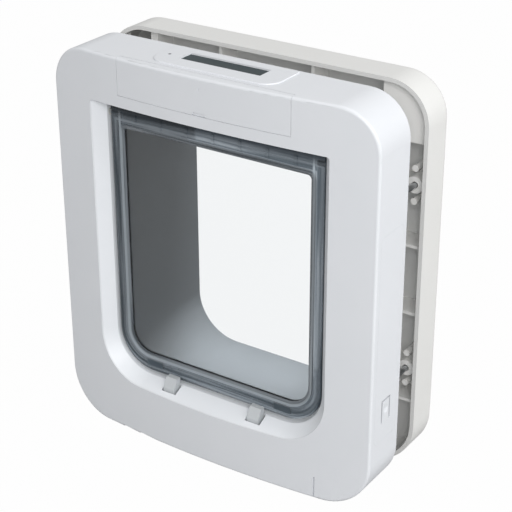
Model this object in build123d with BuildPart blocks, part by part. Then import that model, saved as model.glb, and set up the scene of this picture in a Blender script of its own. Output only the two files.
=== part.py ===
"""Electronic cat flap: crowned indoor housing, framed flap, tunnel and ribbed outdoor frame.

Millimetres. X to the right seen from indoors, Y towards the outdoors, Z up.
The origin is at the floor line, in the middle of the width and of the whole depth.
"""
import math
import os

from build123d import *

os.makedirs("parts", exist_ok=True)

BACK = (0, 1, 0)
FRONT = (0, -1, 0)
SIDES = ((-1, "left"), (1, "right"))

# Both frames
frame_width = 262.0
frame_height = 295.5
corner_top_radius = 30.0
corner_bottom_radius = 36.0
crown = 9.5
door_gap = 25.0
rear_depth = 29.0
rear_height = 294.0
edge_round = 2.0
wall = 2.6
seam = 0.25
running_fit = 0.04

# Mouth of the funnel in the front face, and the passage that the flap closes
mouth_flare = 11.7
mouth_bottom = 40.8
top_beam = 34.8
mouth_radius = 38.0
mouth_top_radius = 2.0
lintel_beam = 36.5
sill_z = 47.5
passage_radius = 31.5
top_radius = 3.0
lip_setback = 5.0

# Flap
flap_side_gap = 1.3
flap_end_gap = 2.0
flap_clear = 1.0
flap_thickness = 7.0
rim_side = 11.4
rim_bottom = 14.5
rim_top = 18.0
rim_round = 2.4
rim_bevel = 1.6
rim_bevel_width = 3.2
window_radius = 17.0
pane_thickness = 3.0
pane_groove = 3.0
rail_rib_count = 7
rail_rib_width = 2.0
rail_rib_height = 7.0
rail_rib_rise = 0.6
hinge_drop = 8.0
pin_radius = 2.0
pin_bite = 7.0
bush_radius = 3.2
bush_flange_radius = 4.4
bush_flange = 1.5
magnet_width = 14.0
magnet_height = 5.0
magnet_depth = 3.0
magnet_inset = 1.8

# Tunnel
tunnel_floor = 28.0
tunnel_radius = 36.0
tunnel_wall = 2.5
tunnel_reach = 18.5
tunnel_flange = 4.0
tunnel_flange_thickness = 2.5
coil_setback = 4.0
coil_width = 8.0
coil_build = 3.2

# Control cover, buttons and boards
cover_width = 139.0
cover_height = 26.5
cover_thickness = 2.4
cover_hinge_in = 4.7
cover_hinge_drop = 2.2
knuckle_radius = 3.4
cover_pin_radius = 1.0
cover_pin_length = 8.0
notch_width = 10.5
notch_height = 2.4
notch_depth = 0.9
gate_dimple_radius = 1.0
gate_dimple_depth = 0.4
gate_dimple_drop = 8.0
bay_depth = 4.0
bay_floor_thickness = 2.0
button_spacing = 26.0
button_drop = 15.5
button_radius = 4.5
button_rise = 2.0
button_gap = 0.3
button_flange = 1.0
button_flange_radius = 5.7
button_seat = 0.1
button_travel = 1.0
switch_size = 6.0
switch_height = 1.7
board_width = 122.0
board_height = 19.0
board_thickness = 1.6
standoff_radius = 2.5
standoff_spacing_x = 108.0
standoff_spacing_z = 12.0
standoff_length = 4.0

# Display panel on top
panel_half_width = 50.0
panel_front = 1.6
panel_back_inset = 1.5
panel_rise = 0.8
panel_radius = 12.0
panel_back_radius = 3.0
panel_bevel = 0.5
plug_inset = 3.0
plug_front_inset = 6.0
plug_back_inset = 3.5
screen_half_width = 32.5
screen_front = 14.0
screen_depth = 13.6
screen_recess = 1.1
screen_border = 2.0
light_radius = 1.2
light_x = -43.0
light_y = 18.0

# Batteries and their covers
cell_radius = 13.1
cell_length = 50.0
cell_nub_radius = 2.8
cell_nub = 1.5
cell_gap = 0.3
cells_per_side = 2
cell_to_cover = 3.8
box_wall = 1.4
box_back_gap = 0.7
box_inset = 1.9
box_front_gap = 5.0
box_side_gap = 1.7
box_head_gap = 10.2
shelf_thickness = 2.0
shelf_gap = 10.5
contact_radius = 9.0
contact_thickness = 0.5
contact_spring = 3.5
contact_tip_radius = 4.0
battery_cover_below = 27.0
battery_cover_above = 4.7
battery_cover_radius = 4.0
battery_seam = 0.1
tongue_half_width = 4.5
tongue_rise = 14.0
tongue_length = 18.0
tongue_slit = 1.6
thumb_radius = 7.0
thumb_depth = 0.8
hook_thickness = 1.5
hook_width = 16.0
hook_reach = 3.0
hook_lap = 6.0

# Lock in the sill
catch_to_magnet = 19.0
catch_width = 9.5
catch_depth = 8.1
catch_rise = 6.0
catch_tail = 15.0
catch_ramp_drop = 7.5
catch_crest = 4.1
catch_travel = 8.0
catch_slot_side = 1.7
catch_slot_end = 0.8
catch_peg_radius = 1.5
catch_peg_drop = 4.5
peg_gap = 0.3
spring_radius = 2.2
spring_wire = 0.5
spring_wire_sides = 6
spring_turns = 4
bar_gap = 0.4
bar_thickness = 3.0
bar_end = 14.0
bar_headroom = 3.4
gear_module = 0.8
pinion_teeth = 12
gear_backlash = 0.15
gear_addendum = 0.75
gear_dedendum = 1.1
pressure_angle = 20.0
rack_teeth = 10
rack_shift = 4.0
shaft_bite = 4.0
pinion_drop = 19.4
shaft_radius = 1.0
motor_radius = 5.5
motor_length = 18.0
motor_gap = 3.2
bracket_wall = 3.0
bracket_length = 10.0
bracket_rise = 2.5
guide_width = 6.0
guide_thickness = 3.0
guide_x = 22.0
sill_magnet_height = 4.0
sill_magnet_depth = 5.6

# Fastenings
plate_thickness = 2.7
plate_gap = 0.2
fixing_inset = 12.0
fixing_top_drop = 75.5
fixing_radius = 2.0
fixing_clear = 0.5
fixing_bite = 21.3
fixing_head_radius = 4.2
fixing_head = 3.0
fixing_boss = 5.5
post_end = 3.0
housing_screw_radius = 1.5
housing_screw_head = 3.0
housing_screw_length = 10.0
housing_boss = 3.6
housing_side_inset = 13.0
housing_low = 40.0
housing_top_drop = 33.5
housing_sill_out = 10.0
housing_sill_z = 12.5
thread_fit = 0.02

# Outdoor frame
rear_wall = 3.0
rear_plate = 3.0
rear_round = 5.0
collar_wall = 2.5
tunnel_slip = 1.0
rib_setback = 7.0
rib_thickness = 2.2
top_rib_near = 38.0
rear_pad_width = 37.0
side_rib_pitch = 51.5
side_rib_first = 123.0
pad_top_drop = 43.0
low_rib = 53.0
pad_thickness = 2.5
pad_slot_out = 11.0
pad_slot_width = 21.0
pad_slot_height = 12.0
pad_slot_radius = 5.0
drain_width = 8.0
rear_boss = 6.0
peg_radius = 2.4
peg_spacing = 24.0
cap_well = 6.0
cap_radius = 4.7
cap_gap = 0.15

# Front-side groove low on the housing
groove_x = 90.0
groove_width = 1.0
groove_top = 18.0
groove_depth = 1.1

# Places that follow from the sizes above
half_width = frame_width / 2
box_half = cell_radius + cell_gap + box_wall
front_depth = box_front_gap + 2 * box_half + box_back_gap + plate_thickness
side_beam = wall + cell_to_cover + cell_radius + box_half + box_side_gap + coil_build + tunnel_wall
passage_half = half_width - side_beam
flap_width = 2 * (passage_half - flap_side_gap)
mouth_half_width = passage_half + mouth_flare
bow_radius = (half_width ** 2 + crown ** 2) / (2 * crown)
depth = crown + front_depth + door_gap + rear_depth + tunnel_reach
face_y = crown - depth / 2
tip_y = face_y - crown
door_in_y = face_y + front_depth
door_out_y = door_in_y + door_gap
rear_y = door_out_y + rear_depth
tunnel_end_y = rear_y + tunnel_reach
plate_y = door_in_y - plate_thickness
lip_y = face_y + lip_setback
flap_front_y = lip_y + flap_clear
flap_back_y = flap_front_y + flap_thickness
hinge_y = flap_front_y + flap_thickness / 2
seat_y = flap_back_y + 2 * flap_clear
mouth_top = frame_height - top_beam
lintel_z = frame_height - lintel_beam
flap_bottom = sill_z + flap_end_gap
flap_top = lintel_z - flap_end_gap
hinge_z = flap_top - hinge_drop
flap_radius = passage_radius - flap_side_gap
magnet_x = passage_half - passage_radius - magnet_inset
cover_bottom = frame_height - cover_height
cover_hinge_y = face_y - cover_hinge_in
cover_hinge_z = frame_height - cover_hinge_drop
bay_floor_y = face_y + bay_depth
bay_back_y = bay_floor_y + bay_floor_thickness
board_y = bay_back_y + standoff_length
button_z = frame_height - button_drop
panel_top = frame_height + panel_rise
panel_front_y = face_y + panel_front
panel_back_y = door_in_y - panel_back_inset
plug_front_y = panel_front_y + plug_front_inset
plug_back_y = panel_back_y - plug_back_inset
screen_front_y = face_y + screen_front
screen_back_y = screen_front_y + screen_depth
top_inside = frame_height - wall
battery_x = half_width - wall - cell_to_cover - cell_radius
box_back_y = plate_y - box_back_gap
battery_y = box_back_y - box_half
box_height = 2 * box_wall + 2 * contact_thickness + contact_spring + cells_per_side * cell_length
fixing_x = half_width - fixing_inset
fixing_high = frame_height - fixing_top_drop
shelf_z = fixing_high - fixing_boss - box_head_gap - box_height
fixing_low = shelf_z - shelf_thickness - shelf_gap - fixing_boss
cells_z = shelf_z + box_wall + contact_thickness + contact_spring
battery_cover_bottom = fixing_low - battery_cover_below
battery_cover_top = shelf_z + box_height + battery_cover_above
tongue_bottom = battery_cover_bottom + tongue_rise
tongue_top = tongue_bottom + tongue_length
fixing_places = [(s * fixing_x, z) for s in (-1, 1) for z in (fixing_low, fixing_high)]
housing_side_x = half_width - housing_side_inset
housing_places = [(s * housing_side_x, z) for s in (-1, 1)
                  for z in (housing_low, frame_height - housing_top_drop)]
housing_places += [(s * (magnet_x + housing_sill_out), housing_sill_z) for s in (-1, 1)]
catch_x = magnet_x - catch_to_magnet
catch_back_y = flap_front_y - flap_clear
catch_front_y = catch_back_y - catch_depth
catch_top = sill_z + catch_rise
bar_half_length = catch_x + bar_end
bar_y = catch_back_y + bar_gap
bar_top = sill_z - wall - sill_magnet_height - bar_headroom
catch_peg_z = bar_top - catch_peg_drop
catch_foot = catch_peg_z - catch_tail
pinion_z = catch_peg_z - pinion_drop
rack_pitch_z = pinion_z + gear_module * pinion_teeth / 2
rack_root_z = rack_pitch_z + gear_module * gear_dedendum
top_rib_far = half_width - rear_pad_width


def facing(y):
    """Upright sketch plane at depth y, drawn as seen from indoors."""
    return Plane.XZ.offset(-y)


def frame_outline(y, height, inset=0.0):
    """Rounded outline that both frames share, standing on the floor line."""
    with BuildSketch(facing(y)) as outline:
        with Locations((0, height / 2)):
            Rectangle(frame_width - 2 * inset, height - 2 * inset)
        fillet(outline.vertices().group_by(Axis.Y)[0], corner_bottom_radius - inset)
        fillet(outline.vertices().group_by(Axis.Y)[-1], corner_top_radius - inset)
    return outline.sketch


def doorway(y, half, bottom, top, radius, grow=0.0, upper=top_radius):
    """Flap-shaped outline with nearly square top corners and round bottom ones."""
    with BuildSketch(facing(y)) as shape:
        with Locations((0, (bottom + top) / 2)):
            Rectangle(2 * (half + grow), top - bottom + 2 * grow)
        fillet(shape.vertices().group_by(Axis.Y)[0], radius + grow)
        fillet(shape.vertices().group_by(Axis.Y)[-1], upper + grow)
    return shape.sketch


def mouth(grow=0.0):
    """Section of the funnel at the foremost point of the crowned face."""
    return doorway(tip_y, mouth_half_width, mouth_bottom, mouth_top, mouth_radius, grow,
                   mouth_top_radius)


def passage(y, grow=0.0):
    """Section of the straight passage round the flap."""
    return doorway(y, passage_half, sill_z, lintel_z, passage_radius, grow)


def tunnel_section(y, grow=0.0):
    """Section of the tunnel's inside."""
    return doorway(y, passage_half, tunnel_floor, lintel_z, tunnel_radius, grow)


def flap_section(y, grow=0.0):
    """Outline of the flap."""
    return doorway(y, flap_width / 2, flap_bottom, flap_top, flap_radius, grow)


def window_section(y, grow=0.0):
    """Outline of the clear window in the flap's rim."""
    return doorway(y, flap_width / 2 - rim_side, flap_bottom + rim_bottom, flap_top - rim_top,
                   window_radius, grow)


def crowned_block(inset=0.0):
    """Outer form of the indoor housing, or the hollow in it when inset by a wall."""
    with BuildPart() as block:
        extrude(frame_outline(door_in_y, frame_height, inset), amount=front_depth + crown, dir=FRONT)
        with BuildSketch():
            with Locations((0, tip_y + bow_radius)):
                Circle(bow_radius - inset)
        extrude(amount=frame_height, mode=Mode.INTERSECT)
        if edge_round > inset:
            fillet(block.faces().sort_by(Axis.Y)[0].edges(), edge_round - inset)
    return block.part


def side_plane(x):
    """Upright sketch plane at x, drawn with the outdoors to the right."""
    return Plane.YZ.offset(x)


def span_sketch(plane, low, high, radius=0.0):
    """Rectangle between two corners of a sketch plane, with rounded corners if asked."""
    with BuildSketch(plane) as shape:
        with Locations(((low[0] + high[0]) / 2, (low[1] + high[1]) / 2)):
            if radius > 0:
                RectangleRounded(high[0] - low[0], high[1] - low[1], radius)
            else:
                Rectangle(high[0] - low[0], high[1] - low[1])
    return shape.sketch


def finish(piece, name):
    """Label a finished piece and write it."""
    piece.label = name
    export_step(piece, f"parts/{name}.step")


slot_half = cover_width / 2 + seam
housing_form = crowned_block()
housing_hollow = crowned_block(wall)

# Funnel, seat wall and screw posts of the housing, cut off within the thickness of the front skin
with BuildPart() as inner_works:
    loft([mouth(wall), passage(lip_y, wall)], ruled=True)
    extrude(passage(lip_y, wall), amount=seat_y - lip_y, dir=BACK)
    extrude(tunnel_section(seat_y, tunnel_wall), amount=wall, dir=FRONT)
    with BuildSketch(facing(plate_y)):
        with Locations(*housing_places):
            Circle(housing_boss)
    extrude(amount=front_depth + crown, dir=FRONT)
    add(crowned_block(wall / 2), mode=Mode.INTERSECT)

# Indoor housing: one moulded shell, open at the back
with BuildPart() as front_frame:
    add(housing_form)
    add(housing_hollow, mode=Mode.SUBTRACT)
    add(inner_works.part)
    loft([mouth(), passage(lip_y)], ruled=True, mode=Mode.SUBTRACT)
    extrude(passage(lip_y), amount=seat_y - lip_y, dir=BACK, mode=Mode.SUBTRACT)
    # Slot for the control cover, round behind its knuckle, and the bay under it
    slot_low = (-slot_half, cover_bottom - seam)
    extrude(span_sketch(facing(cover_hinge_y), slot_low, (slot_half, panel_top)),
            amount=depth, dir=FRONT, mode=Mode.SUBTRACT)
    with BuildSketch(side_plane(-slot_half)):
        with Locations((cover_hinge_y, cover_hinge_z)):
            Circle(knuckle_radius + seam)
    extrude(amount=2 * slot_half, mode=Mode.SUBTRACT)
    extrude(span_sketch(facing(bay_floor_y), slot_low, (slot_half, top_inside)),
            amount=depth, dir=FRONT, mode=Mode.SUBTRACT)
    for side, hand in SIDES:
        pin_plane = side_plane(side * slot_half)
        with BuildSketch(pin_plane):
            with Locations((cover_hinge_y, cover_hinge_z)):
                Circle(cover_pin_radius)
        extrude(amount=side * wall, mode=Mode.SUBTRACT)
        with BuildSketch(side_plane(side * passage_half)):
            with Locations((hinge_y, hinge_z)):
                Circle(bush_radius)
        extrude(amount=side * wall, mode=Mode.SUBTRACT)
        extrude(span_sketch(side_plane(side * (half_width - wall / 2)),
                            (battery_y - box_half, battery_cover_bottom),
                            (battery_y + box_half, battery_cover_top), battery_cover_radius),
                amount=wall, both=True, mode=Mode.SUBTRACT)
        slot_side = catch_width / 2 + catch_slot_side
        extrude(span_sketch(Plane.XY.offset(catch_foot),
                            (side * catch_x - slot_side, catch_front_y - catch_slot_end),
                            (side * catch_x + slot_side, catch_back_y + catch_slot_end)),
                amount=catch_top, mode=Mode.SUBTRACT)
    # Window for the display panel's plug
    window_half = panel_half_width - plug_inset + plate_gap
    extrude(span_sketch(Plane.XY.offset(top_inside), (-window_half, plug_front_y - plate_gap),
                        (window_half, plug_back_y + plate_gap)), amount=wall, mode=Mode.SUBTRACT)
    with BuildSketch(facing(plate_y)):
        with Locations(*housing_places):
            Circle(housing_screw_radius + thread_fit)
    extrude(amount=housing_screw_length, dir=FRONT, mode=Mode.SUBTRACT)
    groove_face_y = face_y - crown * (1 - (groove_x / half_width) ** 2)
    extrude(span_sketch(facing(groove_face_y + groove_depth), (groove_x - groove_width / 2, 0),
                        (groove_x + groove_width / 2, groove_top)),
            amount=crown, dir=FRONT, mode=Mode.SUBTRACT)
finish(front_frame.part, "front_frame")

# Tray behind the control cover, with the buttons' holes and the board's standoffs
with BuildPart() as control_tray:
    extrude(span_sketch(facing(bay_back_y), (-slot_half - wall, cover_bottom - seam - wall),
                        (slot_half + wall, top_inside)), amount=front_depth, dir=FRONT)
    add(housing_hollow, mode=Mode.INTERSECT)
    extrude(span_sketch(facing(bay_floor_y), (-slot_half, cover_bottom - seam), (slot_half, top_inside)),
            amount=front_depth, dir=FRONT, mode=Mode.SUBTRACT)
    with BuildSketch(facing(bay_back_y)):
        with Locations((0, button_z)), GridLocations(standoff_spacing_x, standoff_spacing_z, 2, 2):
            Circle(standoff_radius)
    extrude(amount=standoff_length, dir=BACK)
    with BuildSketch(facing(bay_floor_y)):
        with Locations((0, button_z)), GridLocations(button_spacing, button_spacing, 3, 1):
            Circle(button_radius + button_gap)
    extrude(amount=bay_floor_thickness, dir=BACK, mode=Mode.SUBTRACT)
    for side in (-1, 1):
        with BuildSketch(side_plane(side * slot_half)):
            with Locations((cover_hinge_y, cover_hinge_z)):
                Circle(cover_pin_radius)
        extrude(amount=side * wall, mode=Mode.SUBTRACT)
finish(control_tray.part, "control_tray")

# Control cover: a strip of the front skin with a hinge knuckle along its top edge
with BuildPart() as cover_knuckle:
    with BuildSketch(side_plane(-cover_width / 2)):
        with Locations((cover_hinge_y, cover_hinge_z)):
            Circle(knuckle_radius)
    extrude(amount=cover_width)
    add(housing_form, mode=Mode.INTERSECT)

with BuildPart() as control_cover:
    extrude(span_sketch(facing(cover_hinge_y), (-cover_width / 2, cover_bottom),
                        (cover_width / 2, frame_height)), amount=depth, dir=FRONT)
    add(housing_form, mode=Mode.INTERSECT)
    add(crowned_block(cover_thickness), mode=Mode.SUBTRACT)
    add(cover_knuckle.part)
    for side in (-1, 1):
        with BuildSketch(side_plane(side * cover_width / 2)):
            with Locations((cover_hinge_y, cover_hinge_z)):
                Circle(cover_pin_radius + running_fit)
        extrude(amount=-side * cover_pin_length, mode=Mode.SUBTRACT)
    with BuildSketch(facing(tip_y + notch_depth)):
        with Locations((0, cover_bottom)):
            SlotOverall(notch_width, 2 * notch_height)
    extrude(amount=depth, dir=FRONT, mode=Mode.SUBTRACT)
    with BuildSketch(facing(tip_y + gate_dimple_depth)):
        with Locations((0, frame_height - gate_dimple_drop)):
            Circle(gate_dimple_radius)
    extrude(amount=crown, dir=FRONT, mode=Mode.SUBTRACT)
finish(control_cover.part, "control_cover")

# Two steel pins that the control cover turns on
with BuildPart() as cover_pins:
    for side in (-1, 1):
        with BuildSketch(side_plane(side * (slot_half + wall))):
            with Locations((cover_hinge_y, cover_hinge_z)):
                Circle(cover_pin_radius)
        extrude(amount=-side * cover_pin_length)
finish(cover_pins.part, "cover_pins")

# Push buttons in the bay, each kept in by a flange behind the bay floor
for step, button_name in ((-1, "button_left"), (0, "button_middle"), (1, "button_right")):
    with BuildPart() as button:
        with BuildSketch(facing(bay_floor_y - button_rise)):
            with Locations((step * button_spacing, button_z)):
                Circle(button_radius)
        extrude(amount=button_rise + bay_floor_thickness + button_seat, dir=BACK)
        chamfer(button.edges().sort_by(Axis.Y)[0], button_rise / 4)
        with BuildSketch(facing(bay_back_y + button_seat)):
            with Locations((step * button_spacing, button_z)):
                Circle(button_flange_radius)
        extrude(amount=button_flange, dir=BACK)
    finish(button.part, button_name)

# Circuit board on its standoffs, and the key switches that the buttons press
with BuildPart() as circuit_board:
    extrude(span_sketch(facing(board_y), (-board_width / 2, button_z - board_height / 2),
                        (board_width / 2, button_z + board_height / 2)),
            amount=board_thickness, dir=BACK)
finish(circuit_board.part, "circuit_board")

with BuildPart() as key_switches:
    with BuildSketch(facing(board_y)):
        with Locations((0, button_z)), GridLocations(button_spacing, button_spacing, 3, 1):
            Rectangle(switch_size, switch_size)
    extrude(amount=switch_height, dir=FRONT)
finish(key_switches.part, "key_switches")

# Display panel: a raised plate with a plug that sits in a window of the top wall
lcd_low = (-screen_half_width - screen_border, screen_front_y - screen_border)
lcd_high = (screen_half_width + screen_border, screen_back_y + screen_border)
screen_z = panel_top - screen_recess
with BuildPart() as display_panel:
    with BuildSketch(Plane.XY.offset(frame_height)) as panel_outline:
        with Locations((0, (panel_front_y + panel_back_y) / 2)):
            Rectangle(2 * panel_half_width, panel_back_y - panel_front_y)
        fillet(panel_outline.vertices().group_by(Axis.Y)[0], panel_radius)
        fillet(panel_outline.vertices().group_by(Axis.Y)[-1], panel_back_radius)
    extrude(amount=panel_rise)
    fillet(display_panel.faces().sort_by(Axis.Z)[-1].edges(), panel_bevel)
    extrude(span_sketch(Plane.XY.offset(top_inside), (plug_inset - panel_half_width, plug_front_y),
                        (panel_half_width - plug_inset, plug_back_y)), amount=wall)
    extrude(span_sketch(Plane.XY.offset(top_inside), lcd_low, lcd_high), amount=screen_z - top_inside,
            mode=Mode.SUBTRACT)
    extrude(span_sketch(Plane.XY.offset(screen_z), (-screen_half_width, screen_front_y),
                        (screen_half_width, screen_back_y)), amount=screen_recess, mode=Mode.SUBTRACT)
    with BuildSketch(Plane.XY.offset(top_inside)):
        with Locations((light_x, face_y + light_y)):
            Circle(light_radius)
    extrude(amount=wall + panel_rise, mode=Mode.SUBTRACT)
finish(display_panel.part, "display_panel")

with BuildPart() as lcd_screen:
    extrude(span_sketch(Plane.XY.offset(top_inside), lcd_low, lcd_high), amount=screen_z - top_inside)
finish(lcd_screen.part, "lcd_screen")

with BuildPart() as status_light:
    with BuildSketch(Plane.XY.offset(top_inside)):
        with Locations((light_x, face_y + light_y)):
            Circle(light_radius)
    extrude(amount=wall + panel_rise)
    chamfer(status_light.edges().sort_by(Axis.Z)[-1], light_radius / 4)
finish(status_light.part, "status_light")

with BuildPart() as display_board:
    extrude(span_sketch(Plane.XY.offset(top_inside), (-panel_half_width, plug_front_y),
                        (panel_half_width, plug_back_y)), amount=-board_thickness)
finish(display_board.part, "display_board")

# Battery covers: panels of the side skin with a press tongue and hooks behind the wall
skin_plane = side_plane(half_width - wall / 2)
with BuildPart() as battery_cover_right:
    panel_half = box_half - battery_seam
    extrude(span_sketch(skin_plane, (battery_y - panel_half, battery_cover_bottom + battery_seam),
                        (battery_y + panel_half, battery_cover_top - battery_seam),
                        battery_cover_radius - battery_seam), amount=wall, both=True)
    add(housing_form, mode=Mode.INTERSECT)
    add(housing_hollow, mode=Mode.SUBTRACT)
    for edge in (-1, 1):
        slit_y = battery_y + edge * (tongue_half_width + tongue_slit / 2)
        extrude(span_sketch(skin_plane, (slit_y - tongue_slit / 2, tongue_bottom),
                            (slit_y + tongue_slit / 2, tongue_top)),
                amount=wall, both=True, mode=Mode.SUBTRACT)
    extrude(span_sketch(skin_plane, (battery_y - tongue_half_width, tongue_top - tongue_slit),
                        (battery_y + tongue_half_width, tongue_top)),
            amount=wall, both=True, mode=Mode.SUBTRACT)
    with Locations((half_width + thumb_radius - thumb_depth, battery_y,
                    tongue_top - thumb_radius - tongue_slit)):
        Sphere(thumb_radius, mode=Mode.SUBTRACT)
    for hook_edge, inward in ((battery_cover_top, -1), (battery_cover_bottom, 1)):
        ends = sorted((hook_edge - inward * hook_reach, hook_edge + inward * hook_lap))
        extrude(span_sketch(side_plane(half_width - wall), (battery_y - hook_width / 2, ends[0]),
                            (battery_y + hook_width / 2, ends[1])), amount=-hook_thickness)
finish(battery_cover_right.part, "battery_cover_right")

with BuildPart() as battery_cover_left:
    mirror(battery_cover_right.part, about=Plane.YZ)
finish(battery_cover_left.part, "battery_cover_left")

# Battery boxes, open towards the covers
box_open_x = half_width - wall - box_inset
for side, hand in SIDES:
    with BuildPart() as battery_box:
        box_low = (battery_y - box_half, shelf_z)
        box_high = (battery_y + box_half, shelf_z + box_height)
        extrude(span_sketch(side_plane(side * box_open_x), box_low, box_high),
                amount=-side * (box_open_x - battery_x + box_half))
        extrude(span_sketch(side_plane(side * box_open_x),
                            (box_low[0] + box_wall, box_low[1] + box_wall),
                            (box_high[0] - box_wall, box_high[1] - box_wall)),
                amount=-side * (box_open_x - battery_x + box_half - box_wall), mode=Mode.SUBTRACT)
    finish(battery_box.part, f"battery_box_{hand}")

# Round cells, two on end in each box
cell_places = [(side, level) for side in (-1, 1) for level in range(cells_per_side)]
for count, (side, level) in enumerate(cell_places, start=1):
    with BuildPart() as battery_cell:
        with Locations((side * battery_x, battery_y, cells_z + level * cell_length)):
            Cylinder(cell_radius, cell_length - cell_nub, align=(Align.CENTER, Align.CENTER, Align.MIN))
            Cylinder(cell_nub_radius, cell_length, align=(Align.CENTER, Align.CENTER, Align.MIN))
    finish(battery_cell.part, f"battery_cell_{count}")

# Contact plates, with a cone spring under each stack
with BuildPart() as battery_contacts:
    for side in (-1, 1):
        with Locations((side * battery_x, battery_y, shelf_z + box_wall)):
            Cylinder(contact_radius, contact_thickness, align=(Align.CENTER, Align.CENTER, Align.MIN))
        with Locations((side * battery_x, battery_y, shelf_z + box_wall + contact_thickness)):
            Cone(contact_radius, contact_tip_radius, contact_spring,
                 align=(Align.CENTER, Align.CENTER, Align.MIN))
        with Locations((side * battery_x, battery_y, shelf_z + box_height - box_wall)):
            Cylinder(contact_radius, contact_thickness, align=(Align.CENTER, Align.CENTER, Align.MAX))
finish(battery_contacts.part, "battery_contacts")

# Flap: a moulded rim round a clear pane
pane_y = hinge_y - pane_thickness / 2
with BuildPart() as flap_rim:
    extrude(flap_section(flap_front_y), amount=flap_thickness, dir=BACK)
    fillet(flap_rim.faces().filter_by(Axis.Y).edges(), rim_round)
    extrude(window_section(flap_front_y), amount=flap_thickness, dir=BACK, mode=Mode.SUBTRACT)
    loft([window_section(flap_front_y, rim_bevel_width), window_section(flap_front_y + rim_bevel)],
         ruled=True, mode=Mode.SUBTRACT)
    loft([window_section(flap_back_y - rim_bevel), window_section(flap_back_y, rim_bevel_width)],
         ruled=True, mode=Mode.SUBTRACT)
    extrude(window_section(pane_y, pane_groove), amount=pane_thickness, dir=BACK, mode=Mode.SUBTRACT)
    rib_pitch = (flap_width - 2 * rim_side) / rail_rib_count
    with BuildSketch(facing(flap_front_y)):
        with Locations((0, flap_top - rim_top / 2)):
            with GridLocations(rib_pitch, rib_pitch, rail_rib_count, 1):
                Rectangle(rail_rib_width, rail_rib_height)
    extrude(amount=rail_rib_rise, dir=FRONT)
    with BuildSketch(facing(flap_front_y)):
        with Locations((0, flap_bottom + rim_bottom / 2)):
            with GridLocations(2 * magnet_x, magnet_height, 2, 1):
                Rectangle(magnet_width, magnet_height)
    extrude(amount=magnet_depth, dir=BACK, mode=Mode.SUBTRACT)
    for side in (-1, 1):
        with BuildSketch(side_plane(side * flap_width / 2)):
            with Locations((hinge_y, hinge_z)):
                Circle(pin_radius)
        extrude(amount=-side * pin_bite, mode=Mode.SUBTRACT)
finish(flap_rim.part, "flap_rim")

with BuildPart() as flap_pane:
    extrude(window_section(pane_y, pane_groove), amount=pane_thickness, dir=BACK)
finish(flap_pane.part, "flap_pane")

with BuildPart() as flap_magnets:
    with BuildSketch(facing(flap_front_y)):
        with Locations((0, flap_bottom + rim_bottom / 2)):
            with GridLocations(2 * magnet_x, magnet_height, 2, 1):
                Rectangle(magnet_width, magnet_height)
    extrude(amount=magnet_depth, dir=BACK)
finish(flap_magnets.part, "flap_magnets")

# Hinge pins in the rim, and the flanged bushes they turn in
bush_end = passage_half + wall + bush_flange
for side, hand in SIDES:
    with BuildPart() as hinge_pin:
        with BuildSketch(side_plane(side * (flap_width / 2 - pin_bite))):
            with Locations((hinge_y, hinge_z)):
                Circle(pin_radius)
        extrude(amount=side * (bush_end - flap_width / 2 + pin_bite))
    finish(hinge_pin.part, f"hinge_pin_{hand}")
    with BuildPart() as hinge_bush:
        with BuildSketch(side_plane(side * passage_half)):
            with Locations((hinge_y, hinge_z)):
                Circle(bush_radius)
        extrude(amount=side * wall)
        with BuildSketch(side_plane(side * (passage_half + wall))):
            with Locations((hinge_y, hinge_z)):
                Circle(bush_flange_radius)
        extrude(amount=side * bush_flange)
        with BuildSketch(side_plane(side * passage_half)):
            with Locations((hinge_y, hinge_z)):
                Circle(pin_radius + running_fit)
        extrude(amount=side * (wall + bush_flange), mode=Mode.SUBTRACT)
    finish(hinge_bush.part, f"hinge_bush_{hand}")

# Magnets glued under the sill opposite the ones in the flap
with BuildPart() as sill_magnets:
    with BuildSketch(Plane.XY.offset(sill_z - wall)):
        with Locations((0, hinge_y)), GridLocations(2 * magnet_x, sill_magnet_depth, 2, 1):
            Rectangle(magnet_width, sill_magnet_depth)
    extrude(amount=-sill_magnet_height)
finish(sill_magnets.part, "sill_magnets")

# Lock catches: ramped tongues with a peg that the lock bar draws down
for side, hand in SIDES:
    with BuildPart() as catch:
        with BuildSketch(side_plane(side * catch_x - catch_width / 2)):
            with BuildLine():
                Polyline((catch_front_y, catch_foot), (catch_back_y, catch_foot),
                         (catch_back_y, catch_top), (catch_back_y - catch_crest, catch_top),
                         (catch_front_y, catch_top - catch_ramp_drop), close=True)
            make_face()
        extrude(amount=catch_width)
        with BuildSketch(facing(catch_back_y)):
            with Locations((side * catch_x, catch_peg_z)):
                Circle(catch_peg_radius)
        extrude(amount=bar_gap + bar_thickness, dir=BACK)
    finish(catch.part, f"catch_{hand}")
    with BuildPart() as catch_spring:
        pitch = (catch_foot - wall - 2 * spring_wire) / spring_turns
        with BuildLine() as coil:
            Helix(pitch, pitch * spring_turns, spring_radius,
                  center=(side * catch_x, (catch_front_y + catch_back_y) / 2, wall + spring_wire))
        with BuildSketch(coil.line ^ 0):
            RegularPolygon(spring_wire, spring_wire_sides)
        sweep(path=coil.line, is_frenet=True)
    finish(catch_spring.part, f"catch_spring_{hand}")

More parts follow.
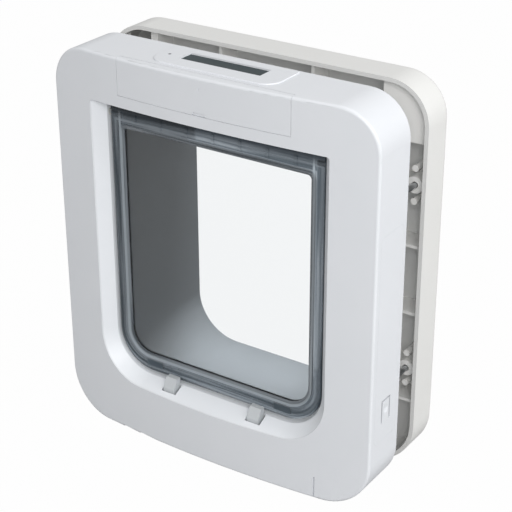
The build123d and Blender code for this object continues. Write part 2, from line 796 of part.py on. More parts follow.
# Lock bar: two slanting slots draw the catch pegs down as the rack pushes it sideways
tooth_pitch = math.pi * gear_module
tooth_slope = math.tan(math.radians(pressure_angle))
tooth_base = (math.pi / 2 + 2 * gear_dedendum * tooth_slope) * gear_module - gear_backlash
tooth_height = (gear_dedendum + gear_addendum) * gear_module
with BuildPart() as lock_bar:
    with BuildSketch(facing(bar_y)):
        with Locations((0, (rack_root_z + bar_top) / 2)):
            Rectangle(2 * bar_half_length, bar_top - rack_root_z)
        rack_first = -tooth_pitch * (rack_teeth / 2 + round(rack_shift / tooth_pitch) - 1 / 2)
        rack_places = [(rack_first + tooth * tooth_pitch, rack_root_z) for tooth in range(rack_teeth)]
        with Locations(*rack_places):
            Trapezoid(tooth_base, tooth_height, 90 - pressure_angle, rotation=180,
                      align=(Align.CENTER, Align.MIN))
        for side in (-1, 1):
            with Locations((side * catch_x - catch_travel / 2, catch_peg_z - catch_travel / 2)):
                SlotCenterToCenter(catch_travel * math.sqrt(2), 2 * (catch_peg_radius + peg_gap),
                                   rotation=45, mode=Mode.SUBTRACT)
    extrude(amount=bar_thickness, dir=BACK)
finish(lock_bar.part, "lock_bar")

# Pinion on the motor's shaft, meshing with the rack from below
pinion_root_radius = gear_module * (pinion_teeth / 2 - gear_dedendum)
with BuildPart() as lock_pinion:
    with BuildSketch(facing(bar_y)):
        with Locations((0, pinion_z)):
            Circle(pinion_root_radius)
            with PolarLocations(pinion_root_radius, pinion_teeth, start_angle=90):
                Trapezoid(tooth_base, tooth_height, 90 - pressure_angle, rotation=-90,
                          align=(Align.CENTER, Align.MIN))
                Rectangle(2 * gear_module, tooth_base, align=(Align.MAX, Align.CENTER))
            Circle(shaft_radius, mode=Mode.SUBTRACT)
    extrude(amount=bar_thickness, dir=BACK)
finish(lock_pinion.part, "lock_pinion")

motor_y = bar_y + bar_thickness + motor_gap
with BuildPart() as motor_shaft:
    with BuildSketch(facing(bar_y)):
        with Locations((0, pinion_z)):
            Circle(shaft_radius)
    extrude(amount=motor_y - bar_y + shaft_bite, dir=BACK)
finish(motor_shaft.part, "motor_shaft")

with BuildPart() as lock_motor:
    with BuildSketch(facing(motor_y)):
        with Locations((0, pinion_z)):
            Circle(motor_radius)
    extrude(amount=motor_length, dir=BACK)
    with BuildSketch(facing(motor_y)):
        with Locations((0, pinion_z)):
            Circle(shaft_radius + running_fit)
    extrude(amount=shaft_bite + peg_gap, dir=BACK, mode=Mode.SUBTRACT)
finish(lock_motor.part, "lock_motor")

# Bracket of the motor, with the posts that the lock bar slides on and against
with BuildPart() as motor_bracket:
    bracket_half = motor_radius + bracket_wall
    bracket_y = motor_y + bracket_wall
    guide_out = guide_x + guide_width / 2
    bar_back_y = bar_y + bar_thickness + peg_gap
    extrude(span_sketch(facing(bracket_y), (-bracket_half, wall),
                        (bracket_half, pinion_z + bracket_rise)), amount=bracket_length, dir=BACK)
    extrude(span_sketch(facing(bracket_y), (-guide_out, wall), (guide_out, wall + bracket_wall)),
            amount=bracket_length, dir=BACK)
    for side in (-1, 1):
        low_x, high_x = side * guide_x - guide_width / 2, side * guide_x + guide_width / 2
        extrude(span_sketch(facing(bar_y), (low_x, wall), (high_x, wall + bracket_wall)),
                amount=bracket_y - bar_y, dir=BACK)
        extrude(span_sketch(facing(bar_y), (low_x, wall), (high_x, rack_root_z - peg_gap)),
                amount=bar_back_y - bar_y, dir=BACK)
        extrude(span_sketch(facing(bar_back_y), (low_x, wall), (high_x, bar_top)),
                amount=guide_thickness, dir=BACK)
    with BuildSketch(facing(bracket_y)):
        with Locations((0, pinion_z)):
            Circle(motor_radius)
    extrude(amount=bracket_length, dir=BACK, mode=Mode.SUBTRACT)
finish(motor_bracket.part, "motor_bracket")

# Tunnel: a flanged neck held by the back plate, and the sleeve that goes on through the door
with BuildPart() as tunnel_neck:
    extrude(tunnel_section(seat_y, tunnel_wall), amount=door_in_y - seat_y, dir=BACK)
    extrude(tunnel_section(plate_y - tunnel_flange_thickness, tunnel_wall + tunnel_flange),
            amount=tunnel_flange_thickness, dir=BACK)
    extrude(tunnel_section(seat_y), amount=door_in_y - seat_y, dir=BACK, mode=Mode.SUBTRACT)
finish(tunnel_neck.part, "tunnel_neck")

with BuildPart() as tunnel:
    extrude(tunnel_section(door_in_y, tunnel_wall), amount=tunnel_end_y - door_in_y, dir=BACK)
    extrude(tunnel_section(door_in_y), amount=tunnel_end_y - door_in_y, dir=BACK, mode=Mode.SUBTRACT)
finish(tunnel.part, "tunnel")

with BuildPart() as antenna_coil:
    coil_y = seat_y + coil_setback
    extrude(tunnel_section(coil_y, tunnel_wall + coil_build), amount=coil_width, dir=BACK)
    extrude(tunnel_section(coil_y, tunnel_wall), amount=coil_width, dir=BACK, mode=Mode.SUBTRACT)
finish(antenna_coil.part, "antenna_coil")

# Back plate that closes the housing, with the fixing posts and the shelves under the battery boxes
screw_planes = [Plane(origin=(x, door_in_y, z), z_dir=BACK) for x, z in housing_places]
with BuildPart() as back_plate:
    extrude(frame_outline(plate_y, frame_height, wall + plate_gap), amount=plate_thickness, dir=BACK)
    with BuildSketch(facing(plate_y)):
        with Locations(*fixing_places):
            Circle(fixing_boss)
    extrude(amount=fixing_bite + post_end, dir=FRONT)
    for side in (-1, 1):
        low, high = sorted((side * (battery_x - box_half), side * box_open_x))
        extrude(span_sketch(facing(plate_y), (low, shelf_z - shelf_thickness), (high, shelf_z)),
                amount=box_back_gap + 2 * box_half, dir=FRONT)
    extrude(tunnel_section(plate_y, tunnel_wall + plate_gap), amount=plate_thickness, dir=BACK,
            mode=Mode.SUBTRACT)
    with BuildSketch(facing(door_in_y)):
        with Locations(*fixing_places):
            Circle(fixing_radius + thread_fit)
    extrude(amount=plate_thickness + fixing_bite + fixing_clear, dir=FRONT, mode=Mode.SUBTRACT)
    with Locations(*screw_planes):
        CounterSinkHole(housing_screw_radius + plate_gap, housing_screw_head + thread_fit,
                        plate_thickness, 90)
finish(back_plate.part, "back_plate")

with BuildPart() as housing_screws:
    head_height = housing_screw_head - housing_screw_radius
    with Locations(*screw_planes):
        Cone(housing_screw_radius, housing_screw_head, head_height,
             align=(Align.CENTER, Align.CENTER, Align.MAX))
        Cylinder(housing_screw_radius, plate_thickness + housing_screw_length - head_height,
                 align=(Align.CENTER, Align.CENTER, Align.MAX))
        Box(2 * housing_screw_radius, housing_screw_radius / 2, housing_screw_radius / 2,
            align=(Align.CENTER, Align.CENTER, Align.MAX), mode=Mode.SUBTRACT)
        Box(housing_screw_radius / 2, 2 * housing_screw_radius, housing_screw_radius / 2,
            align=(Align.CENTER, Align.CENTER, Align.MAX), mode=Mode.SUBTRACT)
finish(housing_screws.part, "housing_screws")

# Outdoor frame: a tray, with the collar round the tunnel and the ribs on pieces of their own
rib_y = door_out_y + rib_setback
tray_y = rear_y - rear_plate
collar_grow = tunnel_wall + tunnel_slip + collar_wall
side_ribs = [fixing_low, side_rib_first, side_rib_first + side_rib_pitch, fixing_high, low_rib]
side_ribs += [rear_height - pad_top_drop]
with BuildPart() as rear_frame:
    extrude(frame_outline(door_out_y, rear_height), amount=rear_depth, dir=BACK)
    fillet(rear_frame.faces().sort_by(Axis.Y)[-1].edges(), rear_round)
    extrude(frame_outline(door_out_y, rear_height, rear_wall), amount=tray_y - door_out_y, dir=BACK,
            mode=Mode.SUBTRACT)
    extrude(tunnel_section(door_out_y, collar_grow), amount=rear_depth, dir=BACK, mode=Mode.SUBTRACT)
    with BuildSketch(facing(tray_y)):
        with Locations(*fixing_places):
            Circle(cap_radius)
    extrude(amount=rear_plate, dir=BACK, mode=Mode.SUBTRACT)
finish(rear_frame.part, "rear_frame")

with BuildPart() as rear_collar:
    extrude(tunnel_section(door_out_y, collar_grow), amount=rear_depth, dir=BACK)
    extrude(tunnel_section(door_out_y, tunnel_wall + tunnel_slip), amount=rear_depth, dir=BACK,
            mode=Mode.SUBTRACT)
finish(rear_collar.part, "rear_collar")

with BuildPart() as rear_ribs:
    with BuildSketch(facing(rib_y)):
        for rib_x in (-top_rib_far, -top_rib_near, top_rib_near, top_rib_far):
            with Locations((rib_x, rear_height / 2)):
                Rectangle(rib_thickness, rear_height)
        for rib_z in side_ribs:
            with Locations((0, rib_z)):
                Rectangle(frame_width, rib_thickness)
        with Locations(*fixing_places):
            Circle(rear_boss)
        for fixing_at in fixing_places:
            with Locations(fixing_at), GridLocations(peg_spacing, peg_spacing, 1, 2):
                Circle(peg_radius)
    extrude(amount=tray_y - rib_y, dir=BACK)
    with BuildSketch(facing(rib_y)):
        for side in (-1, 1):
            pad_half = (half_width - top_rib_far) / 2
            with Locations((side * (half_width - pad_half), rear_height - pad_top_drop / 2)):
                Rectangle(2 * pad_half, pad_top_drop)
    extrude(amount=pad_thickness, dir=BACK)
    with BuildSketch(facing(rib_y + pad_thickness + drain_width)):
        for side in (-1, 1):
            for drain_z in (rear_height - pad_top_drop / 2, tunnel_floor / 2):
                with Locations((side * top_rib_far, drain_z)):
                    Rectangle(2 * rib_thickness, drain_width)
    extrude(amount=drain_width, dir=FRONT, mode=Mode.SUBTRACT)
    # Opening at the top of the left-hand pad
    slot_x = pad_slot_out - half_width
    extrude(span_sketch(facing(rib_y), (slot_x, rear_height - rear_wall - pad_slot_height),
                        (slot_x + pad_slot_width, rear_height), pad_slot_radius),
            amount=pad_thickness, dir=BACK, mode=Mode.SUBTRACT)
    extrude(frame_outline(rib_y, rear_height, rear_wall), amount=rear_depth, dir=BACK,
            mode=Mode.INTERSECT)
    extrude(tunnel_section(rib_y, collar_grow), amount=rear_depth, dir=BACK, mode=Mode.SUBTRACT)
    with BuildSketch(facing(rib_y)):
        with Locations(*fixing_places):
            Circle(fixing_radius + fixing_clear)
    extrude(amount=rear_depth, dir=BACK, mode=Mode.SUBTRACT)
    with BuildSketch(facing(rear_y)):
        with Locations(*fixing_places):
            Circle(cap_radius)
    extrude(amount=cap_well, dir=FRONT, mode=Mode.SUBTRACT)
finish(rear_ribs.part, "rear_ribs")

# Screws that draw the two frames together through the door, and the caps over their heads
head_y = rear_y - cap_well
with BuildPart() as fixing_screws:
    with BuildSketch(facing(head_y)):
        with Locations(*fixing_places):
            Circle(fixing_radius)
    extrude(amount=head_y - plate_y + fixing_bite, dir=FRONT)
    with BuildSketch(facing(head_y)):
        with Locations(*fixing_places):
            Circle(fixing_head_radius)
    extrude(amount=fixing_head, dir=BACK)
finish(fixing_screws.part, "fixing_screws")

with BuildPart() as screw_caps:
    with BuildSketch(facing(rear_y)):
        with Locations(*fixing_places):
            Circle(cap_radius)
    extrude(amount=cap_well - fixing_head - cap_gap, dir=FRONT)
finish(screw_caps.part, "screw_caps")
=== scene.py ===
"""Electronic cat flap with a bowed white housing, shown as in a plain studio photograph."""
import math

import bpy
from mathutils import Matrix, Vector


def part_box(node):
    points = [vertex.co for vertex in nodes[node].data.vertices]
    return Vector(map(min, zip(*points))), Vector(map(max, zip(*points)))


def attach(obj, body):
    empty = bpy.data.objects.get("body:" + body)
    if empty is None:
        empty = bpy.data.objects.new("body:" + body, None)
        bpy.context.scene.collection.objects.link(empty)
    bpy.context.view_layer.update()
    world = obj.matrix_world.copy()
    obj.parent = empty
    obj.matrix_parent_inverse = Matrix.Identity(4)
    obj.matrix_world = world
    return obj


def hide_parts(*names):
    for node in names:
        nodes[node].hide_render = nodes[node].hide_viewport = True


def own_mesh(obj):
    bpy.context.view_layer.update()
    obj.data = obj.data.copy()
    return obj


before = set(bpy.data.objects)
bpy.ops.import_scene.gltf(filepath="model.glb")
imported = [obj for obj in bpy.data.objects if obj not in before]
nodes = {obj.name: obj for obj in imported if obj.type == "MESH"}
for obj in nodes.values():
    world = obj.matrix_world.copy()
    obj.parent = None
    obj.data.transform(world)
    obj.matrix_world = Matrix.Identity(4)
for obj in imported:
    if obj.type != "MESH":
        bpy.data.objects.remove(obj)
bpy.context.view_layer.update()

# Camera at the photograph's viewpoint, indoors, to the right of the flap and above it.
# Place, angle and lens come from a perspective fit of the frame's edges in the photograph.
camera_tilt, camera_turn, camera_roll = math.radians(63.81), math.radians(33.83), math.radians(-0.16)
camera_data = bpy.data.cameras.new("photo_camera")
camera_data.sensor_width = 36.0
camera_data.lens = 102.45
camera = bpy.data.objects.new("photo_camera", camera_data)
camera.location = (0.5279, -0.7808, 0.6066)
camera.rotation_euler = (camera_tilt, 0.0, camera_turn)
camera.rotation_euler.rotate_axis("Z", camera_roll)
bpy.context.scene.collection.objects.link(camera)
bpy.context.scene.camera = camera
bpy.context.scene.view_settings.view_transform = "Standard"


# Floor: a wide sheet of paper that the two frames stand on, a hair below their feet.
# It is near plain white where it is seen, also through the pane, and the rest is lit paper with the shadow.
# To the object it gives back the light of a greyer sheet, so that the undersides stay dark.
def linear(code):
    """Linear colour of an sRGB hex value."""
    parts = [int(code[i:i + 2], 16) / 255 for i in (1, 3, 5)]
    return tuple(v / 12.92 if v <= 0.04045 else ((v + 0.055) / 1.055) ** 2.4 for v in parts) + (1.0,)


def add_node(owner, kind, settings=None, inputs=None):
    """Add a node to a material or world, with its properties and its sockets' values or links."""
    node = owner.node_tree.nodes.new(kind)
    for name, value in (settings or {}).items():
        setattr(node, name, value)
    for name, value in (inputs or {}).items():
        if isinstance(value, bpy.types.NodeSocket):
            owner.node_tree.links.new(value, node.inputs[name])
        else:
            node.inputs[name].default_value = value
    return node


paper_width, paper_gap = 12.0, 0.0004
paper_white = 0.985
bpy.ops.object.select_all(action="DESELECT")
bpy.ops.mesh.primitive_plane_add(size=paper_width, location=(0.0, 0.0, -paper_gap))
floor = bpy.context.object
floor.name = "paper_floor"
paper = bpy.data.materials.new("white_paper_sweep")
paper.use_nodes = True
paper_shader = paper.node_tree.nodes["Principled BSDF"]
paper_shader.inputs["Base Color"].default_value = linear("#a0a0a0")
paper_shader.inputs["Roughness"].default_value = 0.9
paper_rays = add_node(paper, "ShaderNodeLightPath")
paper_bounces = add_node(paper, "ShaderNodeMath", {"operation": "SUBTRACT"},
                         {0: paper_rays.outputs["Ray Depth"], 1: paper_rays.outputs["Transmission Depth"]})
paper_share = add_node(paper, "ShaderNodeMapRange", None,
                       {"Value": paper_bounces.outputs[0], "To Min": paper_white, "To Max": 0.0})
paper_glow = add_node(paper, "ShaderNodeEmission", None, {"Color": (1.0, 1.0, 1.0, 1.0), "Strength": 1.0})
paper_mix = add_node(paper, "ShaderNodeMixShader", None,
                     {0: paper_share.outputs[0], 1: paper_shader.outputs[0], 2: paper_glow.outputs[0]})
paper.node_tree.links.new(paper_mix.outputs[0], paper.node_tree.nodes["Material Output"].inputs["Surface"])
floor.data.materials.append(paper)

# Studio light: a white room, a large soft box in front to the right, another square to the right side
# and a narrow strip light behind for the tunnel's floor. The right side comes out lightest.
# The room is plain white where it is seen, also through the pane, and dimmer where it gives light.
room_white, room_light = 1.0, 0.66
world = bpy.data.worlds.new("white_room")
bpy.context.scene.world = world
world.use_nodes = True
room = world.node_tree.nodes["Background"]
room.inputs["Color"].default_value = (1.0, 1.0, 1.0, 1.0)
room_rays = add_node(world, "ShaderNodeLightPath")
room_bounces = add_node(world, "ShaderNodeMath", {"operation": "SUBTRACT"},
                        {0: room_rays.outputs["Ray Depth"], 1: room_rays.outputs["Transmission Depth"]})
room_direct = add_node(world, "ShaderNodeMapRange", None,
                       {"Value": room_bounces.outputs[0], "From Min": 1.0, "From Max": 2.0,
                        "To Min": 1.0, "To Max": 0.0})
room_looked_at = add_node(world, "ShaderNodeMath", {"operation": "MAXIMUM"},
                          {0: room_rays.outputs["Is Camera Ray"],
                           1: room_rays.outputs["Is Transmission Ray"]})
room_seen = add_node(world, "ShaderNodeMath", {"operation": "MULTIPLY"},
                     {0: room_direct.outputs[0], 1: room_looked_at.outputs[0]})
room_level = add_node(world, "ShaderNodeMapRange", None,
                      {"Value": room_seen.outputs[0], "To Min": room_light, "To Max": room_white})
world.node_tree.links.new(room_level.outputs[0], room.inputs["Strength"])
for lamp_name, lamp_place, lamp_aim, lamp_size, lamp_spread, lamp_power, lamp_mirrored in (
        ("soft_box_front", (1.3, -1.6, 1.2), (0.0, 0.0, 0.15), (1.0, 1.0), 180.0, 26.0, True),
        ("soft_box_right", (1.95, 0.05, 1.2), (0.0, 0.0, 0.15), (0.8, 0.8), 180.0, 18.0, True),
        ("strip_behind", (-0.02, 0.27, 0.36), (-0.02, 0.03, 0.03), (0.15, 0.04), 17.0, 0.105, False)):
    lamp_data = bpy.data.lights.new(lamp_name, "AREA")
    lamp_data.shape = "RECTANGLE"
    lamp_data.size, lamp_data.size_y = lamp_size
    lamp_data.spread = math.radians(lamp_spread)
    lamp_data.energy = lamp_power
    lamp = bpy.data.objects.new(lamp_name, lamp_data)
    lamp.location = lamp_place
    lamp.visible_camera = False
    lamp.visible_glossy = lamp_mirrored
    lamp.visible_transmission = False
    lamp.rotation_euler = (lamp.location - Vector(lamp_aim)).to_track_quat("Z", "Y").to_euler()
    bpy.context.scene.collection.objects.link(lamp)


# Indoor housing: one injection moulding in white ABS, bowed in front, with the funnel round the flap.
# The mould was spark-eroded, so the skin is satin with a fine grain. The back plate, the screwed-on
# lid of the same ABS, carries the posts for the fixing screws and the battery shelves.
def moulded(name, dark, light, roughness):
    """Injection-moulded plastic: a faint cloud of colour, a satin skin and a fine spark-eroded grain."""
    cloud_width = 0.0455
    # Spark-eroded grain is about 0.1 mm: it is drawn at 0.8 mm so that it shows at all.
    grain_width, grain_depth, grain_strength = 0.0008, 0.0002, 0.04
    sheen_spread = 0.04
    plastic = bpy.data.materials.new(name)
    plastic.use_nodes = True
    shader = plastic.node_tree.nodes["Principled BSDF"]
    shader.inputs["IOR"].default_value = 1.54
    place = add_node(plastic, "ShaderNodeTexCoord")
    cloud = add_node(plastic, "ShaderNodeTexNoise", None,
                     {"Vector": place.outputs["Object"], "Scale": 1 / cloud_width, "Detail": 2.0})
    tone = add_node(plastic, "ShaderNodeMix", {"data_type": "RGBA"},
                    {"Factor": cloud.outputs["Fac"], 6: linear(dark), 7: linear(light)})
    plastic.node_tree.links.new(tone.outputs[2], shader.inputs["Base Color"])
    skin = add_node(plastic, "ShaderNodeTexNoise", None,
                    {"Vector": place.outputs["Object"], "Scale": 1 / grain_width, "Detail": 1.0})
    sheen = add_node(plastic, "ShaderNodeMapRange", None,
                     {"Value": skin.outputs["Fac"], "To Min": roughness - sheen_spread,
                      "To Max": roughness + sheen_spread})
    plastic.node_tree.links.new(sheen.outputs[0], shader.inputs["Roughness"])
    relief = add_node(plastic, "ShaderNodeBump", None,
                      {"Height": skin.outputs["Fac"], "Strength": grain_strength, "Distance": grain_depth})
    plastic.node_tree.links.new(relief.outputs[0], shader.inputs["Normal"])
    return plastic


def dress(material, *pieces):
    """Give CAD pieces their finish."""
    for piece in pieces:
        nodes[piece].material_slots[0].material = material


white_abs = moulded("white_abs_spark_eroded", "#d6d9dd", "#dbdde1", 0.42)
dress(white_abs, "back_plate")
# The funnel is painted a shade lighter than the face: painted light where the lamps fall on it more.
# It lies between the jambs, above the foot and behind the bowed face, which falls back by face_fall
# from its middle to its sides.
face_half, face_fall = 0.131, 0.0095
funnel_start, funnel_blend = -0.0598, 0.001
jamb_half, jamb_blend = 0.102, 0.0005
funnel_middle, funnel_half_height = 0.151, 0.111
front_abs = white_abs.copy()
front_abs.name = "white_abs_funnel_painted_light"
front_shader = front_abs.node_tree.nodes["Principled BSDF"]
front_place = add_node(front_abs, "ShaderNodeTexCoord")
front_axes = add_node(front_abs, "ShaderNodeSeparateXYZ", None, {0: front_place.outputs["Object"]})
front_bow = add_node(front_abs, "ShaderNodeMath", {"operation": "POWER"},
                     {0: front_axes.outputs["X"], 1: 2.0})
front_depth = add_node(front_abs, "ShaderNodeMath", {"operation": "MULTIPLY_ADD"},
                       {0: front_bow.outputs[0], 1: -face_fall / face_half ** 2, 2: front_axes.outputs["Y"]})
behind_face = add_node(front_abs, "ShaderNodeMapRange", None,
                       {"Value": front_depth.outputs[0], "From Min": funnel_start,
                        "From Max": funnel_start + funnel_blend})
between_jambs = add_node(front_abs, "ShaderNodeMapRange", None,
                         {"Value": front_bow.outputs[0], "From Min": jamb_half ** 2,
                          "From Max": (jamb_half - jamb_blend) ** 2})
above_foot = add_node(front_abs, "ShaderNodeMath", {"operation": "COMPARE"},
                      {0: front_axes.outputs["Z"], 1: funnel_middle, 2: funnel_half_height})
funnel_sides = add_node(front_abs, "ShaderNodeMath", {"operation": "MULTIPLY"},
                        {0: behind_face.outputs[0], 1: between_jambs.outputs[0]})
funnel_painted_light_mask = add_node(front_abs, "ShaderNodeMath", {"operation": "MULTIPLY"},
                       {0: funnel_sides.outputs[0], 1: above_foot.outputs[0]})
# Painted light: the funnel's surfaces take the lighter white.
front_tone = add_node(front_abs, "ShaderNodeMix", {"data_type": "RGBA"},
                      {"Factor": funnel_painted_light_mask.outputs[0],
                       6: front_shader.inputs["Base Color"].links[0].from_socket, 7: linear("#e8ebef")})
front_abs.node_tree.links.new(front_tone.outputs[2], front_shader.inputs["Base Color"])
dress(front_abs, "front_frame")

# Control cover: a strip of the front skin on two steel pins, moulded in the same ABS.
# Behind it are the tray, three push buttons and the board that they work on.
dress(white_abs, "control_cover", "control_tray")
button_abs = moulded("grey_abs_buttons", "#8f969b", "#979da2", 0.4)
dress(button_abs, "button_left", "button_middle", "button_right")


def bright_steel(name, dark, light, roughness):
    """Bright metal with the fine speckle of a drawn or plated skin."""
    # The speckle is about 0.05 mm: it is drawn at 0.5 mm so that it shows.
    speckle_width, polish_spread = 0.0005, 0.08
    metal = bpy.data.materials.new(name)
    metal.use_nodes = True
    shader = metal.node_tree.nodes["Principled BSDF"]
    shader.inputs["Metallic"].default_value = 1.0
    place = add_node(metal, "ShaderNodeTexCoord")
    speckle = add_node(metal, "ShaderNodeTexNoise", None,
                       {"Vector": place.outputs["Object"], "Scale": 1 / speckle_width, "Detail": 2.0})
    tone = add_node(metal, "ShaderNodeMix", {"data_type": "RGBA"},
                    {"Factor": speckle.outputs["Fac"], 6: linear(dark), 7: linear(light)})
    metal.node_tree.links.new(tone.outputs[2], shader.inputs["Base Color"])
    polish = add_node(metal, "ShaderNodeMapRange", None,
                      {"Value": speckle.outputs["Fac"], "To Min": roughness - polish_spread,
                       "To Max": roughness + polish_spread})
    metal.node_tree.links.new(polish.outputs[0], shader.inputs["Roughness"])
    return metal


steel = bright_steel("drawn_steel_wire", "#a9acaf", "#c3c5c7", 0.34)
dress(steel, "cover_pins")
board_lacquer = moulded("green_solder_lacquer", "#17492a", "#1f5c36", 0.3)
dress(board_lacquer, "circuit_board")
switch_black = moulded("black_nylon_moulded", "#1a1b1d", "#242528", 0.5)
dress(switch_black, "key_switches")

# Display panel: a low raised plate on the top with a liquid-crystal screen and a small light.
# The screen is off, so it is plain dark glass with a matt front. The panel is the housing's own ABS.
dress(white_abs, "display_panel")
screen_cloud_width = 0.0222
screen_glass = bpy.data.materials.new("dark_lcd_glass")
screen_glass.use_nodes = True
screen_shader = screen_glass.node_tree.nodes["Principled BSDF"]
screen_shader.inputs["Roughness"].default_value = 0.45
screen_shader.inputs["Specular IOR Level"].default_value = 0.12
screen_shader.inputs["IOR"].default_value = 1.5
screen_place = add_node(screen_glass, "ShaderNodeTexCoord")
screen_cloud = add_node(screen_glass, "ShaderNodeTexNoise", None,
                        {"Vector": screen_place.outputs["Object"], "Scale": 1 / screen_cloud_width,
                         "Detail": 2.0})
screen_tone = add_node(screen_glass, "ShaderNodeMix", {"data_type": "RGBA"},
                       {"Factor": screen_cloud.outputs["Fac"], 6: linear("#343d40"), 7: linear("#3f494c")})
screen_glass.node_tree.links.new(screen_tone.outputs[2], screen_shader.inputs["Base Color"])
dress(screen_glass, "lcd_screen")
light_lens = moulded("dark_lamp_lens", "#2c3336", "#353d40", 0.25)
dress(light_lens, "status_light")
dress(board_lacquer, "display_board")

# Batteries: two round cells on end in an open box on each side, behind a clip-in ABS cover.
# The cells have a plain dark sleeve, and the contact plates are bright steel.
dress(white_abs, "battery_cover_left", "battery_cover_right")
dress(switch_black, "battery_box_left", "battery_box_right")
cell_sleeve = moulded("printed_cell_sleeve", "#24272c", "#2d3036", 0.35)
dress(cell_sleeve, "battery_cell_1", "battery_cell_2", "battery_cell_3", "battery_cell_4")
dress(steel, "battery_contacts")

# Flap rim: smoked clear polycarbonate, moulded round the pane, with a ribbed top rail.
# It is thick and glossy: lighter and darker streaks run along it, a painted highlight goes beside
# and below the window, and painted shade darkens it to the outer edge, most on the top rail below the
# lintel.
rim_low, rim_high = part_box("flap_rim")
rim_side, rim_bottom, rim_top, window_corner = 0.0114, 0.0145, 0.018, 0.017
window_half = rim_high[0] - rim_side
window_low, window_high = rim_low[2] + rim_bottom, rim_high[2] - rim_top
# Painted highlight beside and below the window; painted shade towards the outer edge and along the top rail.
highlight_middle, highlight_half = 0.0027, 0.0009
side_shade, side_shade_start, side_shade_end = 0.5, 0.007, 0.0015
top_shade, top_shade_start, top_shade_end = 0.9, 0.0115, 0.0045
smoked = bpy.data.materials.new("smoked_polycarbonate")
smoked.use_nodes = True
smoked_shader = smoked.node_tree.nodes["Principled BSDF"]
smoked_shader.inputs["IOR"].default_value = 1.5
smoked_shader.inputs["Transmission Weight"].default_value = 0.6
smoked_place = add_node(smoked, "ShaderNodeTexCoord")
smoked_axes = add_node(smoked, "ShaderNodeSeparateXYZ", None, {0: smoked_place.outputs["Object"]})
# The distance from the window's edge goes round its two lower corners, and is mitred at the top ones.
corner_shift = (window_corner - window_half, 0.0, window_corner + window_low)
smoked_out = add_node(smoked, "ShaderNodeMath", {"operation": "ABSOLUTE"}, {0: smoked_axes.outputs["X"]})
smoked_half = add_node(smoked, "ShaderNodeCombineXYZ", None,
                       {"X": smoked_out.outputs[0], "Z": smoked_axes.outputs["Z"]})
smoked_past = add_node(smoked, "ShaderNodeVectorMath", {"operation": "MULTIPLY_ADD"},
                       {0: smoked_half.outputs[0], 1: (1.0, 0.0, -1.0), 2: corner_shift})
smoked_outside = add_node(smoked, "ShaderNodeVectorMath", {"operation": "MAXIMUM"},
                          {0: smoked_past.outputs[0], 1: (0.0, 0.0, 0.0)})
smoked_reach = add_node(smoked, "ShaderNodeVectorMath", {"operation": "LENGTH"},
                        {0: smoked_outside.outputs[0]})
smoked_beside = add_node(smoked, "ShaderNodeMath", {"operation": "SUBTRACT"},
                         {0: smoked_reach.outputs["Value"], 1: window_corner})
smoked_above = add_node(smoked, "ShaderNodeMath", {"operation": "SUBTRACT"},
                        {0: smoked_axes.outputs["Z"], 1: window_high})
smoked_across = add_node(smoked, "ShaderNodeMath", {"operation": "MAXIMUM"},
                         {0: smoked_beside.outputs[0], 1: smoked_above.outputs[0]})
# The lighter and darker streaks are about 2 mm wide and 80 mm long, and reach some way into the thickness.
streak_width, streak_depth, streak_length, streak_contrast = 0.002, 0.0167, 0.0833, 0.14
smoked_along = add_node(smoked, "ShaderNodeMath", {"operation": "ADD"},
                        {0: smoked_axes.outputs["X"], 1: smoked_axes.outputs["Z"]})
smoked_way = add_node(smoked, "ShaderNodeCombineXYZ", None,
                      {"X": smoked_across.outputs[0], "Y": smoked_axes.outputs["Y"],
                       "Z": smoked_along.outputs[0]})
smoked_streak_space = add_node(smoked, "ShaderNodeMapping", None,
                       {"Vector": smoked_way.outputs[0],
                        "Scale": (1 / streak_width, 1 / streak_depth, 1 / streak_length)})
smoked_cloud = add_node(smoked, "ShaderNodeTexNoise", None,
                        {"Vector": smoked_streak_space.outputs[0], "Scale": 1.0, "Detail": 3.0})
smoked_streaks = add_node(smoked, "ShaderNodeMapRange", None,
                        {"Value": smoked_cloud.outputs["Fac"], "From Min": 0.5 - streak_contrast,
                         "From Max": 0.5 + streak_contrast})
smoked_tone = add_node(smoked, "ShaderNodeMix", {"data_type": "RGBA"},
                       {"Factor": smoked_streaks.outputs[0], 6: linear("#5a656e"), 7: linear("#b0b9c1")})
# Painted highlight: a light line beside and below the window.
smoked_painted_highlight = add_node(smoked, "ShaderNodeMath", {"operation": "COMPARE"},
                       {0: smoked_beside.outputs[0], 1: highlight_middle, 2: highlight_half})
smoked_lit = add_node(smoked, "ShaderNodeMix", {"data_type": "RGBA"},
                      {"Factor": smoked_painted_highlight.outputs[0], 6: smoked_tone.outputs[2], 7: linear("#ccd6de")})
# Painted shade: darker towards the rim's outer edge, most on the top rail under the lintel.
smoked_edge_painted_shade = add_node(smoked, "ShaderNodeMapRange", None,
                       {"Value": smoked_out.outputs[0], "From Min": rim_high[0] - side_shade_start,
                        "From Max": rim_high[0] - side_shade_end, "To Max": side_shade})
smoked_top_painted_shade = add_node(smoked, "ShaderNodeMapRange", None,
                      {"Value": smoked_axes.outputs["Z"], "From Min": rim_high[2] - top_shade_start,
                       "From Max": rim_high[2] - top_shade_end, "To Max": top_shade})
smoked_painted_shade_mask = add_node(smoked, "ShaderNodeMath", {"operation": "MAXIMUM"},
                      {0: smoked_edge_painted_shade.outputs[0], 1: smoked_top_painted_shade.outputs[0]})
smoked_shade = add_node(smoked, "ShaderNodeMix", {"data_type": "RGBA"},
                        {"Factor": smoked_painted_shade_mask.outputs[0], 6: smoked_lit.outputs[2], 7: linear("#26303a")})
smoked.node_tree.links.new(smoked_shade.outputs[2], smoked_shader.inputs["Base Color"])
smoked_gloss = add_node(smoked, "ShaderNodeMapRange", None,
                        {"Value": smoked_cloud.outputs["Fac"], "To Min": 0.04, "To Max": 0.1})
smoked.node_tree.links.new(smoked_gloss.outputs[0], smoked_shader.inputs["Roughness"])
dress(smoked, "flap_rim")

